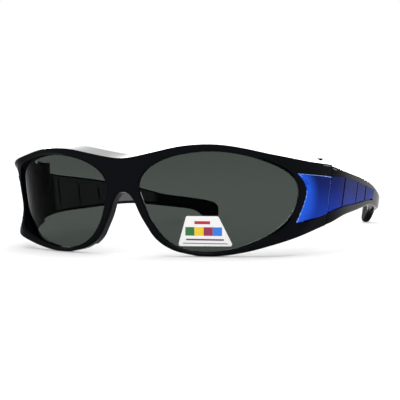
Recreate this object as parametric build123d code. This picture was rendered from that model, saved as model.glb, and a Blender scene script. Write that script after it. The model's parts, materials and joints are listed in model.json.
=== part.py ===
from build123d import *
import os
from math import atan2, cos, degrees, hypot, radians, sin, tan

# Fitover sunglasses: a wrap front that goes over ordinary glasses, two tinted lenses in grooved
# rims, two folding temples on screwed knuckle hinges, and coloured inlays along the sides.
# Millimetres. X runs across the face, Y from the front to the ear, Z is up.
# A station is a signed run along the outer face, measured from the middle of the bridge.
# The wearer's left side is +X.

# Plan of the outer face, one half, seen from above
front_radius = 168.0
front_run = 45.0
corner_radius = 38.0
corner_run = 38.0
side_radius = 50.0
side_run = 20.0
temple_radius = 745.0
temple_run = 72.0
tail_radius = 90.0
tail_run = 43.0

# Whole frame
frame_height = 42.3
lean_height = 23.2
lean_angle = 7.5
wall_thickness = 3.6
seam_station = 88.0
seam_gap = 0.3
view_turn = 28.0
side_turn = 90.0
overrun = 6.0

# Brow ledge and nose flanges
ledge_depth = 7.0
ledge_thickness = 2.2
brow_rise = 13.0
flange_depth = 5.5
flange_thickness = 2.2
flange_fade = 0.6
nose_flare = 1.5
nose_half_span = 35.0
bridge_height = 17.8

# Lens and its groove
lens_near_station = 8.0
lens_span = 63.3
lower_rim = 1.8
upper_rim = 2.5
lens_thickness = 1.4
lens_lip = 1.1
lens_bite = 0.9
lens_clearance = 0.1
lip_bevel = 0.8

# Side inlays
inlay_front_station = 75.0
inlay_rear_station = 159.0
inlay_pocket_depth = 1.0
inlay_clearance = 0.1
inlay_proud = 0.2
groove_depth = 0.6
groove_width = 1.0
wide_groove_width = 1.6
tile_margin = 0.7

# Rounding of the plastic edges
temple_edge_radius = 1.3
front_edge_radius = 0.9

# Label on the left lens
sticker_station = 23.2
sticker_low = 3.8
sticker_run = 22.4
sticker_height = 11.6
sticker_corner = 0.8
sticker_thickness = 0.15
sticker_gap = 0.02

# Hinge
hinge_inset = 6.6
knuckle_radius = 2.1
knuckle_length = 4.9
knuckle_gap = 0.12
hinge_drop = 4.7
lug_run = 7.0
lug_step = 2.5
lug_bite = 1.2
screw_radius = 0.75
screw_fit = 0.05
screw_head_radius = 1.35
screw_head_height = 1.1
screw_tip = 0.8
knuckle_relief = 0.35

stretches = [
    (front_radius, front_run),
    (corner_radius, corner_run),
    (side_radius, side_run),
    (temple_radius, temple_run),
    (tail_radius, tail_run),
]
temple_end_station = sum(length for radius, length in stretches)
front_end_station = seam_station - seam_gap / 2
temple_start_station = seam_station + seam_gap / 2
arch_height = frame_height - bridge_height
lens_height = frame_height - lower_rim - upper_rim
hinge_top = frame_height - hinge_drop
reach = frame_height + overrun
sight_distance = seam_station + 2 * overrun
sight_run = sight_distance + 3 * overrun

# Levels of the front's outer skin: height, and corner radius as a share of the largest that fits
skin_shares = [
    (-0.142, 0.52), (0.05, 0.54), (0.22, 0.47), (0.36, 0.80), (0.50, 0.86), (0.72, 0.86),
    (0.85, 0.70), (1.142, 0.66),
]

# Outlines on the outer face, as shares of the station and of the height that they follow
brow_shares = [
    (0.0, 0.887), (0.057, 0.896), (0.114, 0.916), (0.182, 0.943), (0.273, 0.979), (0.375, 0.999),
    (0.477, 0.993), (0.591, 0.955), (0.75, 0.894), (0.886, 0.846), (1.0, 0.822), (1.05, 0.809),
]
notch_shares = [
    (0.0, 1.0), (0.045, 0.992), (0.082, 0.972), (0.12, 0.905), (0.143, 0.812), (0.2, 0.604),
    (0.268, 0.445), (0.326, 0.306), (0.409, 0.2), (0.506, 0.122), (0.626, 0.061), (0.8, 0.016),
    (1.0, 0.0),
]
lower_shares = [
    (0.398, 0.0), (0.457, 0.005), (0.525, 0.024), (0.6, 0.054), (0.686, 0.102), (0.783, 0.158),
    (0.874, 0.210), (0.955, 0.255), (1.0, 0.276), (1.05, 0.296),
]
lens_shares = [
    (0.0, 0.668), (0.05, 0.810), (0.12, 0.886), (0.21, 0.944), (0.345, 0.987), (0.468, 1.0),
    (0.59, 0.984), (0.70, 0.945), (0.813, 0.880), (0.924, 0.788), (0.985, 0.685), (1.0, 0.574),
    (0.980, 0.430), (0.930, 0.310), (0.850, 0.208), (0.714, 0.095), (0.583, 0.029),
    (0.469, 0.0), (0.325, 0.010), (0.226, 0.058), (0.153, 0.134), (0.095, 0.239), (0.05, 0.366),
    (0.016, 0.530),
]
temple_section_shares = [
    (0.4, 0.278, 0.822, 1.0), (0.440, 0.314, 0.797, 1.0), (0.477, 0.348, 0.775, 0.97),
    (0.556, 0.385, 0.745, 0.94), (0.634, 0.416, 0.709, 0.92), (0.731, 0.435, 0.650, 0.89),
    (0.796, 0.416, 0.589, 0.89), (0.852, 0.392, 0.541, 0.89), (0.907, 0.364, 0.511, 0.92),
    (0.940, 0.322, 0.489, 0.94), (0.958, 0.260, 0.478, 0.97), (0.977, 0.217, 0.459, 0.97),
    (0.991, 0.227, 0.430, 0.92), (0.999, 0.267, 0.392, 0.78),
]
inlay_top_shares = [(0.4, 0.722), (0.463, 0.716), (0.56, 0.678), (0.639, 0.641), (0.736, 0.603)]
inlay_low_shares = [(0.4, 0.376), (0.463, 0.433), (0.56, 0.459), (0.639, 0.482), (0.736, 0.487)]
inlay_front_shares = [
    (0.960, 0.748), (0.994, 0.672), (1.006, 0.620), (1.011, 0.560), (1.006, 0.490), (0.988, 0.392),
    (0.962, 0.303),
]
groove_shares = [0.459, 0.555, 0.633]
sticker_shares = [(0.0, 0.0), (1.0, 0.02), (0.75, 1.0), (0.176, 1.0)]


def station_frame(station, outward=0.0):
    """Place and heading on the plan curve at a signed station, moved out along the normal."""
    x = y = heading = 0.0
    left = abs(station)
    for radius, length in stretches[:-1] + [(tail_radius, left)]:
        step = min(left, length)
        turn = step / radius
        x += radius * (sin(heading + turn) - sin(heading))
        y += radius * (cos(heading) - cos(heading + turn))
        heading += turn
        left -= step
    side = -1 if station < 0 else 1
    return side * (x + outward * sin(heading)), y - outward * cos(heading), heading


def lean_at(height):
    return (height - lean_height) * tan(radians(lean_angle))


def face_point(station, height, inset=0.0):
    """Point at a depth under the leaning outer face."""
    x, y, heading = station_frame(station, lean_at(height) - inset)
    return Vector(x, y, height)


def arc_chain(start, end, height, inset):
    """Arcs of the plan curve between two stations, at one height and depth."""
    marks = []
    total = 0.0
    for radius, length in stretches[:-1]:
        total += length
        marks.append(total)
    low, high = min(start, end), max(start, end)
    stops = [low] + [mark for mark in marks if low < mark < high] + [high]
    if start > end:
        stops.reverse()
    edges = []
    for a, b in zip(stops, stops[1:]):
        points = [face_point(s, height, inset) for s in (a, (a + b) / 2, b)]
        edges.append(Edge.make_three_point_arc(*points))
    return edges


def wall_section(outer, inner):
    """Level face between an outer chain of edges and an inner chain that runs back."""
    far = Edge.make_line(outer[-1] @ 1, inner[0] @ 0)
    near = Edge.make_line(inner[-1] @ 1, outer[0] @ 0)
    return Face(Wire(outer + [far] + inner + [near]))


def wall(start, end, outer_inset, inner_inset, low, high):
    """Leaning wall that follows the plan curve between two stations and two depths."""
    sections = [
        wall_section(arc_chain(start, end, height, outer_inset), arc_chain(end, start, height, inner_inset))
        for height in (low, high)
    ]
    return Part() + loft(sections, ruled=True)


def skin_plan(height, radius_share):
    """Outer plan of the front at one height, with its own corner radius between the same tangents."""
    start, end = face_point(front_run, height), face_point(front_end_station, height)
    near, far = station_frame(front_run)[2], station_frame(front_end_station)[2]
    ahead, past = Vector(cos(near), sin(near), 0), Vector(cos(far), sin(far), 0)
    half_turn = (far - near) / 2
    to_meeting = (end - start).cross(past).Z / ahead.cross(past).Z
    meeting = start + ahead * to_meeting
    corner_reach = radius_share * to_meeting
    rounding = corner_reach / tan(half_turn) * (1 / cos(half_turn) - 1)
    entry, leaving = meeting - ahead * corner_reach, meeting + past * corner_reach
    middle = meeting + (past - ahead).normalized() * rounding
    return arc_chain(0, front_run, height, 0) + [
        Edge.make_line(start, entry), Edge.make_three_point_arc(entry, middle, leaving),
        Edge.make_line(leaving, end),
    ]


def front_skin():
    """Front wall whose corner stands out further along the brow and the lower rim than between them."""
    sections = []
    for height_share, radius_share in skin_shares:
        height = height_share * frame_height
        inner = arc_chain(front_end_station, 0, height, ledge_depth)
        sections.append(wall_section(skin_plan(height, radius_share), inner))
    return Part() + loft(sections)


def facing(turn):
    """Level unit vector that points out of the object at a turn from straight ahead."""
    return Vector(sin(radians(turn)), -cos(radians(turn)), 0)


def across(turn):
    return Vector(cos(radians(turn)), sin(radians(turn)), 0)


def seen(points, turn, rise=0.0):
    """Stations and heights as places in a view plane, along sight lines that rise inward."""
    places = []
    for station, height in points:
        point = face_point(station, height)
        depth = sight_distance - point.dot(facing(turn))
        places.append((point.dot(across(turn)), height - depth * tan(radians(rise))))
    return places


def outlined(curves):
    """Flat face inside curves that close on each other."""
    return make_face([edge for curve in curves for edge in curve.edges()])


def prism(edges, turn, length, rise=0.0):
    """Solid swept inward from an outline drawn in a view plane, along the sight lines."""
    view = Plane(origin=facing(turn) * sight_distance, x_dir=across(turn), z_dir=facing(turn))
    path = facing(turn) * -cos(radians(rise)) + Vector(0, 0, sin(radians(rise)))
    return Part() + extrude(view * outlined(edges), amount=length / cos(radians(rise)), dir=path)


def scaled(shares, run, height, first=0.0, low=0.0):
    return [(first + a * run, low + b * height) for a, b in shares]


def grown(points, amount, closed=False):
    """The same outline moved out by an amount along its own normals, left of its direction."""
    moved = []
    count = len(points)
    for i, (x, y) in enumerate(points):
        before = points[i - 1] if closed or i > 0 else points[i]
        after = points[(i + 1) % count] if closed or i < count - 1 else points[i]
        dx, dy = after[0] - before[0], after[1] - before[1]
        size = hypot(dx, dy)
        moved.append((x - dy / size * amount, y + dx / size * amount))
    return moved


def mirrored(shape):
    return mirror(shape, about=Plane.YZ)


def brow_cutter(drop=0.0):
    """All that lies over the brow line of the left half, lowered by a drop."""
    line = scaled(brow_shares, seam_station, frame_height, low=-drop)
    curve = seen(line, view_turn, brow_rise)
    (x0, z0), (x1, z1) = curve[0], curve[-1]
    edges = [Spline(*curve), Polyline((x1, z1), (x1, z1 + reach), (x0 - overrun, z1 + reach),
                                      (x0 - overrun, z0), (x0, z0))]
    return prism(edges, view_turn, sight_run, brow_rise)


def lower_cutter():
    """All that lies under the lower edge of the left half, out from the lowest point of the rim."""
    line = scaled(lower_shares, seam_station, frame_height)
    curve = seen(line, view_turn)
    (x0, z0), (x1, z1) = curve[0], curve[-1]
    edges = [Spline(*curve, tangents=[(1, 0), (x1 - curve[-2][0], z1 - curve[-2][1])]),
             Polyline((x1, z1), (x1, -reach), (x0 - overrun, -reach), (x0 - overrun, z0), (x0, z0))]
    return prism(edges, view_turn, sight_run)


def notch_curve(grow, flare):
    """Nose notch and inner lower edge in the front view, from one lowest point to the other.

    A growth fades out toward the lowest points; a flare widens the notch sideways only.
    """
    half = scaled(notch_shares, nose_half_span, arch_height)
    line = [(-x, z) for x, z in reversed(half)] + half[1:]
    wider = []
    for (x, z), (nx, nz) in zip(line, grown(line, 1)):
        fade = grow * ((1 + flange_fade) * (z / arch_height) ** 0.5 - flange_fade)
        wider.append((x + (nx - x) * (flare + fade), z + (nz - z) * fade))
    return wider


def notch_cutter(grow=0.0):
    """Space for the nose, which widens toward the face."""
    faces = []
    for depth in (-overrun, 2 * ledge_depth):
        curve = notch_curve(grow, nose_flare * depth / ledge_depth)
        (x0, z0), (x1, z1) = curve[0], curve[-1]
        edges = [Spline(*curve, tangents=[(1, 0), (1, 0)]),
                 Polyline((x1, z1), (x1, -reach), (x0, -reach), (x0, z0))]
        faces.append(Plane(origin=(0, depth, 0), x_dir=(1, 0, 0), z_dir=(0, -1, 0)) * outlined(edges))
    return Part() + loft(faces, ruled=True)


def lens_prism(grow=0.0):
    line = scaled(lens_shares, lens_span, lens_height, lens_near_station, lower_rim)
    curve = grown(seen(line, view_turn), grow, closed=True)
    return prism([Spline(*curve, periodic=True)], view_turn, sight_run)


def lens_layer(front_inset, thickness, grow):
    """Curved plate of the lens outline at a depth under the outer face, left side."""
    layer = wall(0, seam_station, front_inset, front_inset + thickness, -overrun, frame_height + overrun)
    return layer & lens_prism(grow)


def temple_panel(margin, reach_margin):
    """Side view prism of the temple inlay, kept inside its outline by margins."""
    top = scaled(inlay_top_shares, temple_end_station, frame_height)
    low = scaled(inlay_low_shares, temple_end_station, frame_height)
    rear = inlay_rear_station - reach_margin
    top = seen([(min(s, rear), z - margin) for s, z in top], side_turn)
    low = seen([(min(s, rear), z + reach_margin) for s, z in low], side_turn)
    edges = [Spline(*top), Line(top[-1], low[-1]), Spline(*reversed(low)), Line(low[0], top[0])]
    return prism(edges, side_turn, sight_distance - overrun)


def front_panel(margin):
    """Side view prism of the inlay on the end piece, with its hollow front edge."""
    hollow = scaled(inlay_front_shares, inlay_front_station, frame_height)
    hollow = [(s + margin, z) for s, z in hollow]
    hollow[0] = (hollow[0][0], hollow[0][1] - margin)
    hollow[-1] = (hollow[-1][0], hollow[-1][1] + margin)
    top = scaled(inlay_top_shares[:2], temple_end_station, frame_height)
    low = scaled(inlay_low_shares[:2], temple_end_station, frame_height)
    top = seen([hollow[0]] + [(s, z - margin) for s, z in top], side_turn)
    low = seen([hollow[-1]] + [(s, z + margin) for s, z in low], side_turn)
    curve = seen(hollow, side_turn)
    edges = [Spline(*curve), Polyline(*low), Line(low[-1], top[-1]), Polyline(*reversed(top))]
    return prism(edges, side_turn, sight_distance - overrun)


def panel_layer(start, end, outer_inset, inner_inset, outline):
    return wall(start, end, outer_inset, inner_inset, 0, frame_height) & outline


def make_side_inlay():
    start = inlay_front_shares[0][0] * inlay_front_station - overrun
    return panel_layer(start, front_end_station, -inlay_proud, inlay_pocket_depth - inlay_clearance,
                       front_panel(inlay_clearance))


def make_temple_inlay():
    """One moulded strip with four raised tiles, a rebate along its foot and one at its rear."""
    strip = panel_layer(temple_start_station, inlay_rear_station, -inlay_proud,
                        inlay_pocket_depth - inlay_clearance, temple_panel(inlay_clearance, inlay_clearance))
    rebate = wall(temple_start_station - overrun, inlay_rear_station + overrun, -overrun, groove_depth,
                  0, frame_height)
    strip -= rebate - temple_panel(0, tile_margin)
    widths = [groove_width] * (len(groove_shares) - 1) + [wide_groove_width]
    for share, width in zip(groove_shares, widths):
        station = share * temple_end_station
        strip -= wall(station - width / 2, station + width / 2, -overrun, groove_depth, 0, frame_height)
    return strip


pivot_x, pivot_y, pivot_heading = station_frame(
    seam_station, lean_at(hinge_top - 1.5 * knuckle_length) - hinge_inset
)


def hinge_plane(height):
    """Level plane at the hinge axis, x outward through the wall and y back along the temple."""
    outward = (sin(pivot_heading), -cos(pivot_heading), 0)
    return Plane(origin=(pivot_x, pivot_y, height), x_dir=outward, z_dir=(0, 0, 1))


def post(radius, low, top):
    """Upright cylinder on the hinge axis."""
    return Part() + extrude(hinge_plane(low) * Circle(radius), top - low)


def knuckle_levels(index):
    """Lower and upper height of a knuckle, counted from the top."""
    top = hinge_top - index * (knuckle_length + knuckle_gap)
    return top - knuckle_length, top


def knuckle(index, growth=0.0):
    low, top = knuckle_levels(index)
    end_growth = knuckle_gap if growth else 0
    return post(knuckle_radius + growth, low - end_growth, top + end_growth)


def lug(index, direction):
    """Web from a knuckle to the wall, toward the front for -1 and toward the ear for 1."""
    low, top = knuckle_levels(index)
    foot = hinge_inset - wall_thickness + lug_bite
    edge = direction * seam_gap / 2
    points = [(-knuckle_radius, edge), (-knuckle_radius, direction * lug_step),
              (foot, direction * lug_run), (foot, edge)]
    return Part() + extrude(hinge_plane(low) * make_face(Polyline(*points, close=True)), top - low)


def hinge_bore():
    low = knuckle_levels(2)[0] - overrun
    shank = post(screw_radius + screw_fit, low, hinge_top + overrun)
    head_low = hinge_top - screw_head_height - screw_fit
    return shank + post(screw_head_radius + screw_fit, head_low, hinge_top + overrun)


def make_hinge_screw():
    low = knuckle_levels(2)[0] + screw_tip
    head = post(screw_head_radius, hinge_top - screw_head_height, hinge_top)
    return post(screw_radius, low, hinge_top) + head


def edges_at(shape, places):
    """The edges that pass closest to places a wall thickness outside the outer face."""
    found = []
    for station, height in places:
        point = face_point(station, height, -wall_thickness)
        edge = min(shape.edges(), key=lambda candidate: candidate.distance_to(point))
        if not any(edge.is_same(other) for other in found):
            found.append(edge)
    return found


def make_front_half():
    """Left half of the front, up to the middle of the bridge."""
    end, low, high = front_end_station + overrun, -overrun, frame_height + overrun
    half = front_skin()
    hollow = wall(0, end, wall_thickness, ledge_depth + overrun, low, high)
    hollow -= notch_cutter(flange_thickness)
    hollow += wall(0, end, flange_depth, ledge_depth + overrun, low, high)
    half -= hollow - brow_cutter(ledge_thickness)
    for index in (0, 2):
        half += lug(index, -1)
    panel_start = inlay_front_shares[0][0] * inlay_front_station - overrun
    half -= panel_layer(panel_start, end, -overrun, inlay_pocket_depth, front_panel(0))
    for cutter in (brow_cutter(), lower_cutter(), notch_cutter()):
        half -= cutter
    brow = scaled(brow_shares, seam_station, frame_height)
    lower = scaled(lower_shares, seam_station, frame_height)
    notch = scaled(notch_shares, nose_half_span, arch_height)
    half = fillet(edges_at(half, [brow[4], brow[8], lower[1], lower[5], notch[5]]), front_edge_radius)
    half = half - lens_prism() - lens_seat()
    lens = scaled(lens_shares, lens_span, lens_height, lens_near_station, lower_rim)
    half = chamfer(edges_at(half, [lens[3], lens[9], lens[19]]), lip_bevel)
    for index in (0, 2):
        half += knuckle(index)
    return half - (knuckle(1, knuckle_relief) + hinge_bore())


def make_front_frame():
    half = make_front_half()
    return half + mirrored(half)


def lens_seat():
    return lens_layer(lens_lip, lens_thickness + 2 * lens_clearance, lens_bite + lens_clearance)


def make_lens():
    return lens_layer(lens_lip + lens_clearance, lens_thickness, lens_bite)


def temple_section(station, low, top, thickness):
    """Rounded upright section of the temple, square to its run and leaning with the face."""
    across_wall = Vector(sin(station_frame(station)[2]), -cos(station_frame(station)[2]), 0)
    lean = radians(lean_angle)
    plane = Plane(
        origin=face_point(station, (low + top) / 2, thickness / 2),
        x_dir=across_wall * cos(lean) - Vector(0, 0, sin(lean)),
        z_dir=across_wall.cross(Vector(0, 0, 1)),
    )
    return plane * RectangleRounded(thickness, (top - low) / cos(lean), temple_edge_radius)


def make_temple():
    sections = []
    for station_share, low_share, top_share, thickness_share in temple_section_shares:
        station = max(temple_start_station, station_share * temple_end_station)
        sections.append(temple_section(station, low_share * frame_height, top_share * frame_height,
                                       thickness_share * wall_thickness))
    body = Part() + loft(sections)
    body -= panel_layer(temple_start_station - overrun, inlay_rear_station + overrun, -overrun,
                        inlay_pocket_depth, temple_panel(0, 0))
    body += lug(1, 1)
    body += knuckle(1)
    return body - (knuckle(0, knuckle_relief) + knuckle(2, knuckle_relief) + hinge_bore())


def make_lens_sticker():
    """Plain label on the lens, wider at its foot, with rounded corners."""
    outline = seen(scaled(sticker_shares, sticker_run, sticker_height, sticker_station, sticker_low), view_turn)
    face = lens_lip + lens_clearance - sticker_gap
    edges = FilletPolyline(*outline, radius=sticker_corner, close=True).edges()
    layer = wall(0, seam_station, face - sticker_thickness, face, 0, frame_height)
    return layer & prism(edges, view_turn, sight_run)


def rest_on_ground(nodes):
    """Tips the glasses back until rims and temple ends touch the ground, and centres them."""
    tilt = 0.0
    for step in range(4):
        front = Rot(tilt, 0, 0) * nodes["front_frame"]
        temple = Rot(tilt, 0, 0) * nodes["temple_left"]
        front_low, temple_low = front.bounding_box().min.Z, temple.bounding_box().min.Z
        tilt -= degrees(atan2(temple_low - front_low, temple.bounding_box().max.Y))
    tipped = {name: Rot(tilt, 0, 0) * shape for name, shape in nodes.items()}
    boxes = [shape.bounding_box() for shape in tipped.values()]
    front_y, back_y = min(box.min.Y for box in boxes), max(box.max.Y for box in boxes)
    shift = Pos(0, -(front_y + back_y) / 2, -min(box.min.Z for box in boxes))
    return {name: shift * shape for name, shape in tipped.items()}, tilt, shift


left_pieces = {
    "lens": make_lens(),
    "side_inlay": make_side_inlay(),
    "temple": make_temple(),
    "temple_inlay": make_temple_inlay(),
    "hinge_screw": make_hinge_screw(),
}
nodes = {"front_frame": make_front_frame(), "lens_sticker": make_lens_sticker()}
for name, shape in left_pieces.items():
    nodes[name + "_left"] = shape
    nodes[name + "_right"] = mirrored(shape)

placed, tilt, shift = rest_on_ground(nodes)
os.makedirs("parts", exist_ok=True)
for name, shape in placed.items():
    export_step(shape, "parts/" + name + ".step")

axis = shift * Rot(tilt, 0, 0) * Pos(pivot_x, pivot_y, hinge_top)
print("rest tilt", round(tilt, 3), "shift", shift.position, "hinge", axis.position)
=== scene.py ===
import json
import math

import bmesh
import bpy
from bpy.props import FloatProperty, FloatVectorProperty, PointerProperty
from mathutils import Euler, Matrix, Vector
from mathutils.bvhtree import BVHTree


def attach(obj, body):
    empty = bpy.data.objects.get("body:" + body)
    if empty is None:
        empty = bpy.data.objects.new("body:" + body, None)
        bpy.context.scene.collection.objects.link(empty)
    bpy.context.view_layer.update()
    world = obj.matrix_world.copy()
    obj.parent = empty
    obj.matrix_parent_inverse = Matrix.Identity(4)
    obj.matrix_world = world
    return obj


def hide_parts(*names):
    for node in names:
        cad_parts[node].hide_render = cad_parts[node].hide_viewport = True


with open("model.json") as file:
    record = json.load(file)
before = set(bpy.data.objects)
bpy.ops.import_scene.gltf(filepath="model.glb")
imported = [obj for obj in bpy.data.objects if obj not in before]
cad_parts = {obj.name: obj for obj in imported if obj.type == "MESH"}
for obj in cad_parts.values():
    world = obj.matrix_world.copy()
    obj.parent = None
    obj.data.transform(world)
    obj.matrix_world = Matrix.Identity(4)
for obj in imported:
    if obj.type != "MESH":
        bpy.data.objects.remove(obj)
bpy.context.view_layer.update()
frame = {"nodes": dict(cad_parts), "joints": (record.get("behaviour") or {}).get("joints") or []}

bl_info = {
    "name": "Fitover Sunglasses",
    "version": (1, 0, 0),
    "blender": (4, 5, 0),
    "location": "View3D > Sidebar > Sunglasses",
    "description": "Finishes, small pieces and a photo stage for a pair of fitover sunglasses",
    "category": "Object",
}

PHOTO_SIDE = 400

# The upright frame has its origin under the middle of the bridge, with the rims square to the floor.
# The CAD rests on its temple tips, so the left hinge gives the move from one frame to the other.
HINGE = next(joint for joint in frame["joints"] if joint["child"] == "left_temple")
UPRIGHT_HINGE = Vector((0.0663714, 0.0372816, 0.0376))
REST_TILT = -math.atan2(HINGE["axis"][1], HINGE["axis"][2])
REST_TURN = Matrix.Rotation(REST_TILT, 3, "X")
REST_SHIFT = Vector(HINGE["pos_m"]) - REST_TURN @ UPRIGHT_HINGE

# Camera of the photograph, in the upright frame: place, turn from straight ahead, focal length, and how
# far the horizon lies from the middle of the picture
EYE = Vector((0.2142, -0.3238, 0.0255))
EYE_TURN = math.radians(29.0)
FOCAL_PIXELS = 992.0
HORIZON_PIXELS = 10.5
SENSOR_WIDTH = 36.0

# Points that are nearer to each other than this are one, and rays from outside start this far out
MERGE_DISTANCE = 0.000001
RAY_START = 0.1

# Side panels, in the upright frame: heights, and the hollow front edge of the inlays that they stand for
PANEL_LOW, PANEL_MIDDLE, PANEL_TOP = 0.013, 0.0211, 0.031
PANEL_FRONT, PANEL_HOLLOW_DEPTH, PANEL_HOLLOW_HEIGHT = 0.0249, 0.0030, 0.009

# Raised front of the side panels: where the rise ends and where it is full, how it swells between the
# two, and the strips that the skin is cut into along it and upwards
PANEL_REAR, PANEL_NOSE, PANEL_SWELL = 0.036, 0.0215, 1.2
STRIPS_ALONG, STRIPS_UP = 28, 20

# A probe for the outer skin starts a share of the way to a point inside the panel, and a little outside
PANEL_CENTRE = Vector((0.0, 0.030, 0.0215))
PROBE_SHARE, PROBE_OUT = 0.02, 0.0003

# Lip of the side panels: where it starts, its rise over the skin of the front, how far before and behind
# a spot that skin is measured too, and the greatest height at which it is measured
LIP_START, LIP_RISE, LIP_CLEARANCE, LIP_TOP = 0.031, 0.0001, 0.0003, 0.0303

# How far the lip reaches forward at its middle height, and how fast that grows with the square of the
# height below and above it
LIP_MIDDLE, LIP_REACH, LIP_LOW_GROWTH, LIP_HIGH_GROWTH = 0.0225, 0.00205, 9.4, 6.0

# Outline of the side panels: the turn past which an edge is rounded, the width of its painted highlight
# in roundings, and the lowest slope of a rounded face that still has the painted highlight
RIM_TURN, GLINT_WIDTH, GLINT_LOWEST = math.radians(50), 2, -0.3

# Grooves of the temple inlays: place along the temple and width. Their painted shade reaches a share of
# the width to each side, with a soft end.
GROOVES = ((0.04813, 0.001), (0.06894, 0.001), (0.08579, 0.0016))
GROOVE_SHADE, GROOVE_BLUR = 0.9, 0.0002

# Where the painted highlight starts to fade and where it has faded, measured back from the hollow front
# edge
HIGHLIGHT_FADE_START, HIGHLIGHT_FADE_END = -0.0025, 0.006

# Screw profile from its tip up: radius and height. The thread has a low end, a high end and a pitch, and
# a radius at root and crest. The profile is spun in steps, and a plain margin stays round the recess.
SCREW_TIP = ((0.0, 0.02346), (0.00045, 0.02346), (0.0007, 0.0238))
SCREW_THREAD = (0.0240, 0.0282, 0.00035)
THREAD_ROOT, THREAD_CREST = 0.0006, 0.00075
SCREW_HEAD = (
    (0.00075, 0.0365), (0.00135, 0.0365), (0.00135, 0.0372), (0.0012, 0.0375), (0.001, 0.0376),
)
SCREW_STEPS, RECESS_MARGIN = 32, 0.0002

# Ribs inside the temples: place along the temple, low and high end. Their rounding is a share of how
# far they stand out.
RIBS = ((0.05166, 0.0180, 0.0308), (0.06548, 0.0196, 0.0282), (0.07937, 0.0206, 0.0264))
RIB_ROUNDING = 0.4

# Turns past which an edge of a panel or a screw stays sharp
PANEL_SHARP_TURN, SCREW_SHARP_TURN = math.radians(30), math.radians(35)

# Printed blocks of the label, in the upright frame turned to face it: left, right, low, high and ink
LABEL_TURN, PRINT_BLUR = math.radians(28.0), 0.00006
LABEL_BLOCKS = (
    (0.0284, 0.0344, 0.0123, 0.0135, (0.45, 0.01, 0.02)),
    (0.0249, 0.0284, 0.0079, 0.0112, (0.01, 0.16, 0.03)),
    (0.0284, 0.0319, 0.0079, 0.0112, (0.90, 0.62, 0.01)),
    (0.0319, 0.0354, 0.0079, 0.0112, (0.30, 0.01, 0.07)),
    (0.0354, 0.0389, 0.0079, 0.0112, (0.02, 0.20, 0.75)),
    (0.0252, 0.0396, 0.0061, 0.0067, (0.02, 0.04, 0.06)),
    (0.0240, 0.0410, 0.0048, 0.0051, (0.02, 0.03, 0.05)),
)

# Floor: half its side, and the glow that it adds where only the background is seen
FLOOR_HALF_SIDE, FLOOR_GLOW = 8.0, 0.22

# Softboxes: place, width, height, power and whether they only make reflections
SOFTBOXES = (
    ("overhead softbox", (0.0, 0.1, 1.0), 0.8, 0.8, 3.0, False),
    ("rear softbox", (-0.54, 1.04, 0.50), 0.72, 1.20, 46.0, True),
    ("side softbox", (0.65, 0.68, 0.15), 0.20, 0.20, 3.0, True),
)

# Sizes and colours


def length(name, description, default):
    """A property for a length in metres."""
    return FloatProperty(name=name, description=description, default=default, unit="LENGTH", precision=5)


def share(name, description, default):
    """A property from 0 to 1."""
    return FloatProperty(name=name, description=description, default=default, min=0.0, max=1.0,
                         subtype="FACTOR")


def colour(name, description, default):
    """A property for a colour."""
    return FloatVectorProperty(name=name, description=description, default=default, size=3, min=0.0,
                               max=1.0, subtype="COLOR")


class PlasticSettings(bpy.types.PropertyGroup):
    black: colour("Black", "Colour of the moulded frame", (0.0014, 0.0019, 0.0032))
    gloss: share("Roughness", "Roughness of the polished plastic", 0.09)


class LensSettings(bpy.types.PropertyGroup):
    tint: colour("Tint", "Colour of the light that the lens lets through", (0.054, 0.064, 0.057))


class InlaySettings(bpy.types.PropertyGroup):
    # Painted highlight along the hollow front edge of the paint
    bright: colour("Highlight blue", "Painted highlight along the hollow front edge", (0.015, 0.10, 0.72))
    clear: colour("Clear blue", "Paint along the lower edge", (0.006, 0.040, 0.36))
    deep: colour("Deep blue", "Paint along the upper edge", (0.001, 0.009, 0.09))
    # Painted shade in the grooves
    painted_groove_shade: colour("Painted groove shade", "Painted shade in the grooves", (0.0003, 0.001, 0.025))
    # Painted highlight on the rounded edge of the side panels
    glint: colour("Edge glint", "Painted highlight along the front and the top edges", (0.28, 0.45, 1.0))
    lift: length("Front lift", "How far the front of the side panel rises to the skin", 0.0007)
    edge: length("Edge rounding", "Rounding of the side panel's outer edge", 0.00025)


class ScrewSettings(bpy.types.PropertyGroup):
    recess: length("Recess depth", "Depth of the cross recess", 0.0005)
    slot: length("Recess width", "Width of each arm of the cross", 0.0004)


class RibSettings(bpy.types.PropertyGroup):
    width: length("Rib width", "Width of the ribs inside the temples", 0.0006)
    height: length("Rib height", "How far the ribs stand out of the temple wall", 0.0003)


class LabelSettings(bpy.types.PropertyGroup):
    paper: colour("Paper", "Colour of the label", (0.94, 0.92, 0.92))


class StageSettings(bpy.types.PropertyGroup):
    floor: colour("Floor", "Colour of the floor", (0.8, 0.8, 0.8))
    light: FloatProperty(name="World", description="Strength of the soft world light", default=1.1)


class SunglassesSettings(bpy.types.PropertyGroup):
    plastic: PointerProperty(type=PlasticSettings)
    lens: PointerProperty(type=LensSettings)
    inlay: PointerProperty(type=InlaySettings)
    screw: PointerProperty(type=ScrewSettings)
    rib: PointerProperty(type=RibSettings)
    label: PointerProperty(type=LabelSettings)
    stage: PointerProperty(type=StageSettings)


# Node helpers


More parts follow.
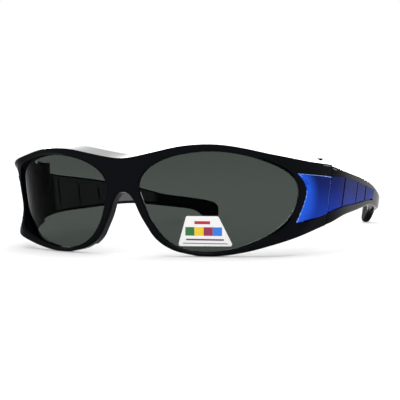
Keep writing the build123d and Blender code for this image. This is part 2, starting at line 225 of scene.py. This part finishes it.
class Finish:
    """A node material, built up a node at a time."""

    def __init__(self, name):
        self.material = bpy.data.materials.new(name)
        self.material.use_nodes = True
        self.tree = self.material.node_tree
        self.shader = self.tree.nodes["Principled BSDF"]

    def node(self, kind, inputs=(), **values):
        """A new node, with its inputs fed and its options set."""
        made = self.tree.nodes.new("ShaderNode" + kind)
        for name, value in values.items():
            setattr(made, name, value)
        for key, value in dict(inputs).items():
            self.feed(made.inputs[key], value)
        return made

    def feed(self, socket, value):
        """Links a socket to another one, or sets its number or colour."""
        if isinstance(value, bpy.types.NodeSocket):
            self.tree.links.new(value, socket)
        elif socket.type == "RGBA":
            socket.default_value = (*value, 1)
        else:
            socket.default_value = value

    def place(self):
        """Object coordinates in the resting frame."""
        return self.node("TexCoord").outputs["Object"]

    def upright(self):
        """Object coordinates in the upright frame."""
        shift = {0: self.place(), 1: tuple(REST_SHIFT)}
        moved = self.node("VectorMath", shift, operation="SUBTRACT").outputs[0]
        return self.turned(moved, -REST_TILT, "X_AXIS")

    def turned(self, vector, angle, axis):
        """A place turned round an axis through the origin."""
        turn = {"Vector": vector, "Angle": angle}
        return self.node("VectorRotate", turn, rotation_type=axis).outputs[0]

    def axes(self, vector):
        """The three parts of a place."""
        split = self.node("SeparateXYZ", {0: vector})
        return split.outputs[0], split.outputs[1], split.outputs[2]

    def reckon(self, operation, first, second):
        """Sum, difference or product of two values."""
        return self.node("Math", {0: first, 1: second}, operation=operation).outputs[0]

    def mapped(self, value, before=(0.0, 1.0), after=(0.0, 1.0), kind="LINEAR"):
        """A value moved from one range to another, and kept within it."""
        ends = {0: value, 1: before[0], 2: before[1], 3: after[0], 4: after[1]}
        return self.node("MapRange", ends, interpolation_type=kind).outputs[0]

    def band(self, value, low, high, blur):
        """1 between two values and 0 outside, with soft ends."""
        rise = self.mapped(value, (low - blur, low + blur))
        fall = self.mapped(value, (high - blur, high + blur), (1.0, 0.0))
        return self.reckon("MULTIPLY", rise, fall)

    def blend(self, amount, first, second, mode="MIX"):
        """A mix of two colours."""
        mix = self.node("Mix", data_type="RGBA", blend_type=mode)
        for socket, value in ((0, amount), (6, first), (7, second)):
            self.feed(mix.inputs[socket], value)
        return mix.outputs[2]

    def noise(self, scale):
        """Fine clouds from 0 to 1."""
        clouds = {"Vector": self.place(), "Scale": scale, "Detail": 2.0}
        return self.node("TexNoise", clouds).outputs["Fac"]

    def bump(self, height, strength, distance):
        """Small unevenness of the surface."""
        dents = {"Height": height, "Strength": strength, "Distance": distance}
        return self.node("Bump", dents).outputs[0]

    def set(self, **sockets):
        """Sets or links the shader's sockets, and gives the material."""
        for name, value in sockets.items():
            self.feed(self.shader.inputs[name.replace("_", " ")], value)
        return self.material


def dress(names, material):
    """Gives CAD nodes a material."""
    for name in names:
        node = frame["nodes"][name]
        node.data.materials.clear()
        node.data.materials.append(material)


def at_rest():
    """The move from the upright frame to the resting frame."""
    return Matrix.Translation(REST_SHIFT) @ REST_TURN.to_4x4()


def add_piece(name, shape, material, body, replaced=None):
    """Turns a shape in the upright frame into a piece of the resting model."""
    bmesh.ops.transform(shape, matrix=at_rest(), verts=shape.verts)
    mesh = bpy.data.meshes.new(name)
    shape.to_mesh(mesh)
    shape.free()
    mesh.materials.append(material)
    piece = bpy.data.objects.new(name, mesh)
    bpy.context.scene.collection.objects.link(piece)
    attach(piece, body)
    if replaced:
        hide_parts(replaced)
    return piece


def upright_copy(name):
    """The mesh of a CAD node, merged and moved to the upright frame."""
    shape = bmesh.new()
    shape.from_mesh(frame["nodes"][name].data)
    bmesh.ops.remove_doubles(shape, verts=shape.verts, dist=MERGE_DISTANCE)
    bmesh.ops.transform(shape, matrix=at_rest().inverted(), verts=shape.verts)
    return shape


def smooth_but_sharp(shape, angle):
    """Smooth faces, with the edges that turn more than an angle kept sharp."""
    for face in shape.faces:
        face.smooth = True
    for edge in shape.edges:
        edge.smooth = len(edge.link_faces) == 2 and edge.calc_face_angle(0.0) < angle


# Shapes


def panel_front(height):
    """Where the hollow front edge of the CAD side inlays lies at a height."""
    return PANEL_FRONT - PANEL_HOLLOW_DEPTH * ((height - PANEL_MIDDLE) / PANEL_HOLLOW_HEIGHT) ** 2


def lip_reach(height):
    """How far the lip of a side panel reaches forward at a height."""
    growth = LIP_LOW_GROWTH if height < LIP_MIDDLE else LIP_HIGH_GROWTH
    return LIP_REACH + growth * (height - LIP_MIDDLE) ** 2


def skin_level(skin, out, along, height):
    """How far out a skin stands at a place along the side and a height, or 0 where it has a gap."""
    hit = skin.ray_cast(Vector((out * RAY_START, along, height)), Vector((-out, 0, 0)))[0]
    return abs(hit.x) if hit else 0.0


def highest_skin(skin, out, along, height):
    """How far out a skin stands at a place or close before and behind it."""
    steps = (-LIP_CLEARANCE, 0.0, LIP_CLEARANCE)
    return max(skin_level(skin, out, along + step, height) for step in steps)


def cut_into_strips(shape):
    """Cuts the front of a side panel into fine strips, so that its skin can bend."""
    ranges = ((1, PANEL_NOSE, PANEL_REAR, STRIPS_ALONG), (2, PANEL_LOW, PANEL_TOP, STRIPS_UP))
    for axis, low, high, strips in ranges:
        for cut in range(1, strips):
            spot, normal = Vector(), Vector()
            spot[axis] = low + (high - low) * cut / strips
            normal[axis] = 1
            bmesh.ops.bisect_plane(shape, geom=shape.verts[:] + shape.edges[:] + shape.faces[:],
                                   dist=MERGE_DISTANCE, plane_co=spot, plane_no=normal)


def outer_vertices(shape, skin, out):
    """The vertices of a side panel that have none of it farther out."""
    outer = set()
    for vertex in shape.verts:
        probe = vertex.co + (PANEL_CENTRE - vertex.co) * PROBE_SHARE
        probe.x = vertex.co.x + out * PROBE_OUT
        if skin.ray_cast(probe, Vector((out, 0, 0)))[0] is None:
            outer.add(vertex)
    return outer


def round_outline(shape, outer, rounding):
    """Rounds the outer edge of a side panel, and gives the front and top of it the painted highlight
    material.
    """
    rim = [edge for edge in shape.edges
           if set(edge.verts) <= outer and edge.calc_face_angle(0.0) > RIM_TURN]
    foremost = min(vertex.co.y for vertex in shape.verts)
    highest = max(vertex.co.z for vertex in shape.verts)
    rounded = bmesh.ops.bevel(shape, geom=rim, offset=rounding, offset_type="OFFSET", segments=2,
                              profile=0.5, affect="EDGES", material=-1)
    for vertex in shape.verts:
        vertex.co.y, vertex.co.z = max(vertex.co.y, foremost), min(vertex.co.z, highest)
    glint = GLINT_WIDTH * rounding
    for face in rounded["faces"]:
        centre = face.calc_center_median()
        inner_line = panel_front(centre.z) - lip_reach(centre.z) + glint
        inside = inner_line < centre.y < LIP_START and centre.z < PANEL_TOP - glint
        if face.normal.z > GLINT_LOWEST and centre.y < PANEL_REAR and not inside:
            face.material_index = 1


def side_panel_shape(side, lift, rounding):
    """Side panel whose front rises level with the fuller skin of the front and laps over it."""
    out = 1 if side == "left" else -1
    shape = upright_copy("side_inlay_" + side)
    front = upright_copy("front_frame")
    front_skin = BVHTree.FromBMesh(front)
    front.free()
    cut_into_strips(shape)
    skin = BVHTree.FromBMesh(shape)
    outer = outer_vertices(shape, skin, out)
    for vertex in outer:
        front_line = panel_front(vertex.co.z)
        behind = max((vertex.co.y - front_line) / (LIP_START - front_line), 0.0)
        height = min(vertex.co.z, LIP_TOP)
        level = abs(vertex.co.x)
        if behind < 1.0:
            vertex.co.y -= lip_reach(vertex.co.z) * (1.0 - behind)
            level = skin_level(skin, out, vertex.co.y, height)
        rise = (PANEL_REAR - vertex.co.y) / (PANEL_REAR - PANEL_NOSE)
        level += lift * min(max(rise, 0.0), 1.0) ** PANEL_SWELL
        if behind < 1.0:
            level = max(level, highest_skin(front_skin, out, vertex.co.y, height) + LIP_RISE)
        vertex.co.x = out * level
    round_outline(shape, outer, rounding)
    smooth_but_sharp(shape, PANEL_SHARP_TURN)
    return shape


def faces_within_margin(shape):
    """The faces on a screw's flat top that the margin surrounds."""
    radius, top = SCREW_HEAD[-1]
    centres = {face: face.calc_center_median() for face in shape.faces}
    return [face for face, centre in centres.items()
            if centre.z > top - MERGE_DISTANCE and centre.xy.length < radius - RECESS_MARGIN]


def sink_cross(shape, recess, slot):
    """Closes the flat top of a screw and sinks a cross into it."""
    top = SCREW_HEAD[-1][1] - MERGE_DISTANCE
    ring = [edge for edge in shape.edges if edge.is_boundary and edge.verts[0].co.z > top]
    cap = bmesh.ops.contextual_create(shape, geom=ring)["faces"]
    bmesh.ops.inset_region(shape, faces=cap, thickness=RECESS_MARGIN)
    for normal in (Vector((1, 0, 0)), Vector((0, 1, 0))):
        for sign in (-1, 1):
            inner = faces_within_margin(shape)
            parts = dict.fromkeys(part for face in inner for part in (*face.verts, *face.edges, face))
            bmesh.ops.bisect_plane(shape, geom=list(parts), dist=MERGE_DISTANCE,
                                   plane_co=normal * sign * slot / 2, plane_no=normal)
    cross = [face for face in faces_within_margin(shape)
             if min(abs(part) for part in face.calc_center_median().xy) < slot / 2]
    sunk = bmesh.ops.extrude_face_region(shape, geom=cross)["geom"]
    floor = [part for part in sunk if isinstance(part, bmesh.types.BMVert)]
    bmesh.ops.translate(shape, vec=(0, 0, -recess), verts=floor)


def screw_shape(side, recess, slot):
    """Threaded screw with a pan head and a cross recess."""
    shape = bmesh.new()
    low, high, pitch = SCREW_THREAD
    turns = round((high - low) / pitch)
    thread = [(THREAD_CREST if step % 2 else THREAD_ROOT, low + step * pitch / 2)
              for step in range(2 * turns + 1)]
    profile = (*SCREW_TIP, *thread, *SCREW_HEAD)
    corners = [shape.verts.new((radius, 0, height)) for radius, height in profile]
    edges = [shape.edges.new(pair) for pair in zip(corners, corners[1:])]
    bmesh.ops.spin(shape, geom=corners + edges, cent=(0, 0, 0), axis=(0, 0, 1), angle=math.tau,
                   steps=SCREW_STEPS, use_merge=True)
    bmesh.ops.remove_doubles(shape, verts=shape.verts, dist=MERGE_DISTANCE)
    sink_cross(shape, recess, slot)
    bmesh.ops.recalc_face_normals(shape, faces=shape.faces)
    out = 1 if side == "left" else -1
    bmesh.ops.translate(shape, vec=(out * UPRIGHT_HINGE.x, UPRIGHT_HINGE.y, 0), verts=shape.verts)
    smooth_but_sharp(shape, SCREW_SHARP_TURN)
    return shape


def rib_shape(wall, out, place, low, high, width, height):
    """Fine upright rib that follows the inner wall of a temple."""
    outwards = Vector((out, 0, 0))
    foot, top = (wall.ray_cast(Vector((0, place, end)), outwards)[0] for end in (low, high))
    along = top - foot
    turn = Vector((0, 0, 1)).rotation_difference(along).to_matrix().to_4x4()
    shape = bmesh.new()
    bmesh.ops.create_cube(shape, size=1.0)
    bmesh.ops.scale(shape, vec=(2 * height, width, along.length), verts=shape.verts)
    bmesh.ops.bevel(shape, geom=shape.edges[:], offset=RIB_ROUNDING * height, offset_type="OFFSET",
                    segments=2, profile=0.5, affect="EDGES", material=-1)
    middle = Matrix.Translation((foot + top) / 2)
    bmesh.ops.transform(shape, matrix=middle @ turn, verts=shape.verts)
    return shape


# Finishes


def shades(tone, darker, lighter):
    """A colour made a little darker and a little lighter."""
    return tuple(c * darker for c in tone), tuple(c * lighter for c in tone)


def black_plastic(settings):
    """Polished black plastic with faint clouds in its colour and gloss."""
    finish = Finish("gloss black plastic")
    cloud, grain = finish.noise(60.0), finish.noise(2200.0)
    tone = finish.blend(cloud, *shades(settings.black, 0.8, 1.25))
    rough = finish.mapped(cloud, after=(settings.gloss * 0.75, settings.gloss * 1.3))
    return finish.set(Base_Color=tone, Roughness=rough, Specular_IOR_Level=0.004, Coat_Weight=0.07,
                      Coat_Roughness=0.05, Normal=finish.bump(grain, 0.06, 0.00004))


def smoke_lens(settings):
    """Clear lens plastic with a grey-green tint."""
    finish = Finish("smoke lens")
    tone = finish.blend(finish.noise(25.0), *shades(settings.tint, 0.98, 1.02))
    return finish.set(Base_Color=tone, Roughness=0.0, IOR=1.06, Transmission_Weight=1.0)


def blue_paint(settings):
    """Metallic paint with a painted highlight along the hollow front edge, darker towards the top,
    lighter towards the bottom, and painted shade in the grooves.
    """
    finish = Finish("blue metallic paint")
    _, along, up = finish.axes(finish.upright())
    height = finish.mapped(up, (PANEL_LOW, PANEL_TOP), kind="SMOOTHSTEP")
    tone = finish.blend(height, settings.clear, settings.deep)
    off_middle = finish.reckon("SUBTRACT", up, PANEL_MIDDLE)
    rise = finish.reckon("MULTIPLY", off_middle, 1 / PANEL_HOLLOW_HEIGHT)
    hollow = finish.reckon("MULTIPLY", finish.reckon("MULTIPLY", rise, rise), PANEL_HOLLOW_DEPTH)
    behind = finish.reckon("ADD", finish.reckon("SUBTRACT", along, PANEL_FRONT), hollow)
    # Painted highlight: lighter blue along the hollow front edge, for the light that the curved paint
    # catches there
    glow = finish.mapped(behind, (HIGHLIGHT_FADE_START, HIGHLIGHT_FADE_END), (1.0, 0.0), "SMOOTHERSTEP")
    tone = finish.blend(glow, tone, settings.bright)
    # Painted shade: the grooves are darkened, for the shade that falls into them
    for groove, width in GROOVES:
        reach = GROOVE_SHADE * width
        painted_groove_shade = finish.band(along, groove - reach, groove + reach, GROOVE_BLUR)
        tone = finish.blend(painted_groove_shade, tone, settings.painted_groove_shade)
    flakes = finish.noise(9000.0)
    sparkle = finish.mapped(flakes, (0.45, 0.75), (0.85, 1.25))
    grey = finish.node("CombineColor", {0: sparkle, 1: sparkle, 2: sparkle}).outputs[0]
    tone = finish.blend(1.0, tone, grey, "MULTIPLY")
    return finish.set(Base_Color=tone, Metallic=0.25, Roughness=0.4, Specular_Tint=(0.08, 0.15, 0.5),
                      Specular_IOR_Level=0.0, Coat_Weight=0.12, Coat_Roughness=0.05,
                      Normal=finish.bump(flakes, 0.1, 0.00003))


def edge_glint(settings):
    """Painted highlight: a thin light blue colour on the rounded edge of the paint, standing in for
    light that the edge catches.
    """
    finish = Finish("painted edge highlight")
    tone = finish.blend(finish.noise(900.0), *shades(settings.glint, 0.7, 1.0))
    return finish.set(Base_Color=tone, Metallic=0.1, Roughness=0.5, Specular_IOR_Level=0.1,
                      Coat_Weight=0.03)


def label_film(settings):
    """White printed film with plain colour blocks."""
    finish = Finish("printed label film")
    across, _, up = finish.axes(finish.turned(finish.upright(), -LABEL_TURN, "Z_AXIS"))
    tone = tuple(settings.paper)
    for left, right, low, high, ink in LABEL_BLOCKS:
        beside = finish.band(across, left, right, PRINT_BLUR)
        level = finish.band(up, low, high, PRINT_BLUR)
        tone = finish.blend(finish.reckon("MULTIPLY", beside, level), tone, ink)
    return finish.set(Base_Color=tone, Roughness=0.28)


def screw_steel():
    """Plain steel, lightly brushed."""
    finish = Finish("screw steel")
    rough = finish.mapped(finish.noise(5000.0), after=(0.22, 0.4))
    return finish.set(Base_Color=(0.55, 0.55, 0.57), Metallic=1.0, Roughness=rough)


# Operators


class FITOVER_OT_plastic(bpy.types.Operator):
    """Gives the front and both temples their gloss black plastic"""
    bl_idname = "fitover.plastic"
    bl_label = "Black Plastic"

    def execute(self, context):
        plastic = black_plastic(context.scene.fitover.plastic)
        dress(["front_frame", "temple_left", "temple_right"], plastic)
        return {"FINISHED"}


class FITOVER_OT_lenses(bpy.types.Operator):
    """Gives both lenses their smoke tint"""
    bl_idname = "fitover.lenses"
    bl_label = "Lenses"

    def execute(self, context):
        dress(["lens_left", "lens_right"], smoke_lens(context.scene.fitover.lens))
        return {"FINISHED"}


class FITOVER_OT_inlays(bpy.types.Operator):
    """Raises the side panels level with the front, paints a highlight on their rounded edges, and gives
    the four inlays their blue metallic paint with its painted highlight and shade
    """
    bl_idname = "fitover.inlays"
    bl_label = "Side Inlays"

    def execute(self, context):
        settings = context.scene.fitover.inlay
        paint, glint = blue_paint(settings), edge_glint(settings)
        for side in ("left", "right"):
            inlay = "side_inlay_" + side
            shape = side_panel_shape(side, settings.lift, settings.edge)
            panel = add_piece("side_panel_" + side, shape, paint, "front", inlay)
            # The second material paints a highlight on the rounded front and top edges
            panel.data.materials.append(glint)
            dress([inlay, "temple_inlay_" + side], paint)
        return {"FINISHED"}


class FITOVER_OT_label(bpy.types.Operator):
    """Gives the label on the left lens its printed film"""
    bl_idname = "fitover.label"
    bl_label = "Lens Label"

    def execute(self, context):
        dress(["lens_sticker"], label_film(context.scene.fitover.label))
        return {"FINISHED"}


class FITOVER_OT_screws(bpy.types.Operator):
    """Makes both hinge screws, with a thread and a cross recess"""
    bl_idname = "fitover.screws"
    bl_label = "Hinge Screws"

    def execute(self, context):
        settings = context.scene.fitover.screw
        steel = screw_steel()
        for side in ("left", "right"):
            shape = screw_shape(side, settings.recess, settings.slot)
            add_piece("cross_screw_" + side, shape, steel, "front", "hinge_screw_" + side)
        dress(["hinge_screw_left", "hinge_screw_right"], steel)
        return {"FINISHED"}


class FITOVER_OT_ribs(bpy.types.Operator):
    """Adds the fine upright ribs inside both temples"""
    bl_idname = "fitover.ribs"
    bl_label = "Temple Ribs"

    def execute(self, context):
        settings = context.scene.fitover.rib
        for side, out in (("left", 1), ("right", -1)):
            temple = upright_copy("temple_" + side)
            wall = BVHTree.FromBMesh(temple)
            temple.free()
            plastic = frame["nodes"]["temple_" + side].data.materials[0]
            for count, (place, low, high) in enumerate(RIBS, 1):
                shape = rib_shape(wall, out, place, low, high, settings.width, settings.height)
                name = "temple_rib_%s_%d" % (side, count)
                add_piece(name, shape, plastic, side + "_temple")
        return {"FINISHED"}


class FITOVER_OT_stage(bpy.types.Operator):
    """Adds the pale floor, the soft light and the photograph's camera"""
    bl_idname = "fitover.stage"
    bl_label = "Photo Stage"

    def execute(self, context):
        settings = context.scene.fitover.stage
        add_floor(settings)
        add_world(context.scene, settings)
        for softbox in SOFTBOXES:
            add_lamp(*softbox)
        add_camera(context.scene)
        context.scene.view_settings.view_transform = "Standard"
        return {"FINISHED"}


def white_rays(tree):
    """1 for the rays that see the white background, from the camera, a gloss or a glass, else 0."""
    path = tree.nodes.new("ShaderNodeLightPath")
    total = path.outputs["Is Camera Ray"]
    for name in ("Is Glossy Ray", "Is Transmission Ray"):
        add = tree.nodes.new("ShaderNodeMath")
        add.operation = "ADD"
        add.use_clamp = True
        tree.links.new(total, add.inputs[0])
        tree.links.new(path.outputs[name], add.inputs[1])
        total = add.outputs[0]
    return total


def add_floor(settings):
    """A wide pale floor that looks as white as the background and keeps the shadow."""
    mesh = bpy.data.meshes.new("floor")
    shape = bmesh.new()
    bmesh.ops.create_grid(shape, x_segments=1, y_segments=1, size=FLOOR_HALF_SIDE)
    shape.to_mesh(mesh)
    shape.free()
    floor = bpy.data.objects.new("floor", mesh)
    bpy.context.scene.collection.objects.link(floor)
    finish = Finish("pale floor")
    glow = finish.mapped(white_rays(finish.tree), after=(0.0, FLOOR_GLOW))
    mesh.materials.append(finish.set(Base_Color=tuple(settings.floor), Roughness=1.0,
                                     Specular_IOR_Level=0.0, Emission_Color=(1, 1, 1),
                                     Emission_Strength=glow))


def add_world(scene, settings):
    """Soft white light from all sides, and a white background."""
    world = bpy.data.worlds.new("studio")
    world.use_nodes = True
    tree = world.node_tree
    background = tree.nodes["Background"]
    spread = tree.nodes.new("ShaderNodeMapRange")
    tree.links.new(white_rays(tree), spread.inputs[0])
    spread.inputs[3].default_value = settings.light
    spread.inputs[4].default_value = 1.0
    background.inputs[0].default_value = (1, 1, 1, 1)
    tree.links.new(spread.outputs[0], background.inputs[1])
    scene.world = world


def add_lamp(name, place, width, height, power, gloss_only):
    """A softbox that faces the object and isn't seen itself, only mirrored."""
    lamp = bpy.data.lights.new(name, "AREA")
    lamp.shape = "RECTANGLE"
    lamp.size, lamp.size_y = width, height
    lamp.energy = power
    spot = bpy.data.objects.new(name, lamp)
    spot.location = place
    spot.rotation_euler = Vector(place).to_track_quat("Z", "Y").to_euler()
    spot.visible_camera = spot.visible_transmission = False
    spot.visible_diffuse = not gloss_only
    bpy.context.scene.collection.objects.link(spot)


def add_camera(scene):
    """The camera of the photograph."""
    camera = bpy.data.cameras.new("photo camera")
    camera.sensor_width = SENSOR_WIDTH
    camera.lens = FOCAL_PIXELS / PHOTO_SIDE * camera.sensor_width
    camera.clip_start, camera.clip_end = 0.01, 50.0
    eye = bpy.data.objects.new("photo camera", camera)
    dip = math.atan(HORIZON_PIXELS / FOCAL_PIXELS)
    turn = Euler((math.pi / 2 - dip, 0, EYE_TURN)).to_matrix().to_4x4()
    eye.matrix_world = at_rest() @ Matrix.Translation(EYE) @ turn
    scene.collection.objects.link(eye)
    scene.camera = eye


# Panel and start

OPERATORS = (
    FITOVER_OT_plastic,
    FITOVER_OT_lenses,
    FITOVER_OT_inlays,
    FITOVER_OT_label,
    FITOVER_OT_screws,
    FITOVER_OT_ribs,
    FITOVER_OT_stage,
)


class FITOVER_PT_panel(bpy.types.Panel):
    """Sizes, colours and steps of the sunglasses"""
    bl_label = "Fitover Sunglasses"
    bl_idname = "FITOVER_PT_panel"
    bl_space_type = "VIEW_3D"
    bl_region_type = "UI"
    bl_category = "Sunglasses"

    def draw(self, context):
        settings = context.scene.fitover
        for group in ("plastic", "lens", "inlay", "screw", "rib", "label", "stage"):
            box = self.layout.box()
            part = getattr(settings, group)
            for name in part.__annotations__:
                box.prop(part, name)
        for operator in OPERATORS:
            self.layout.operator(operator.bl_idname)


CLASSES = (
    PlasticSettings,
    LensSettings,
    InlaySettings,
    ScrewSettings,
    RibSettings,
    LabelSettings,
    StageSettings,
    SunglassesSettings,
    *OPERATORS,
    FITOVER_PT_panel,
)


def register():
    for made in CLASSES:
        bpy.utils.register_class(made)
    bpy.types.Scene.fitover = PointerProperty(type=SunglassesSettings)


def unregister():
    del bpy.types.Scene.fitover
    for made in reversed(CLASSES):
        bpy.utils.unregister_class(made)


def main():
    register()
    bpy.ops.fitover.plastic()
    bpy.ops.fitover.lenses()
    bpy.ops.fitover.inlays()
    bpy.ops.fitover.label()
    bpy.ops.fitover.screws()
    bpy.ops.fitover.ribs()
    bpy.ops.fitover.stage()


if __name__ == "__main__":
    main()
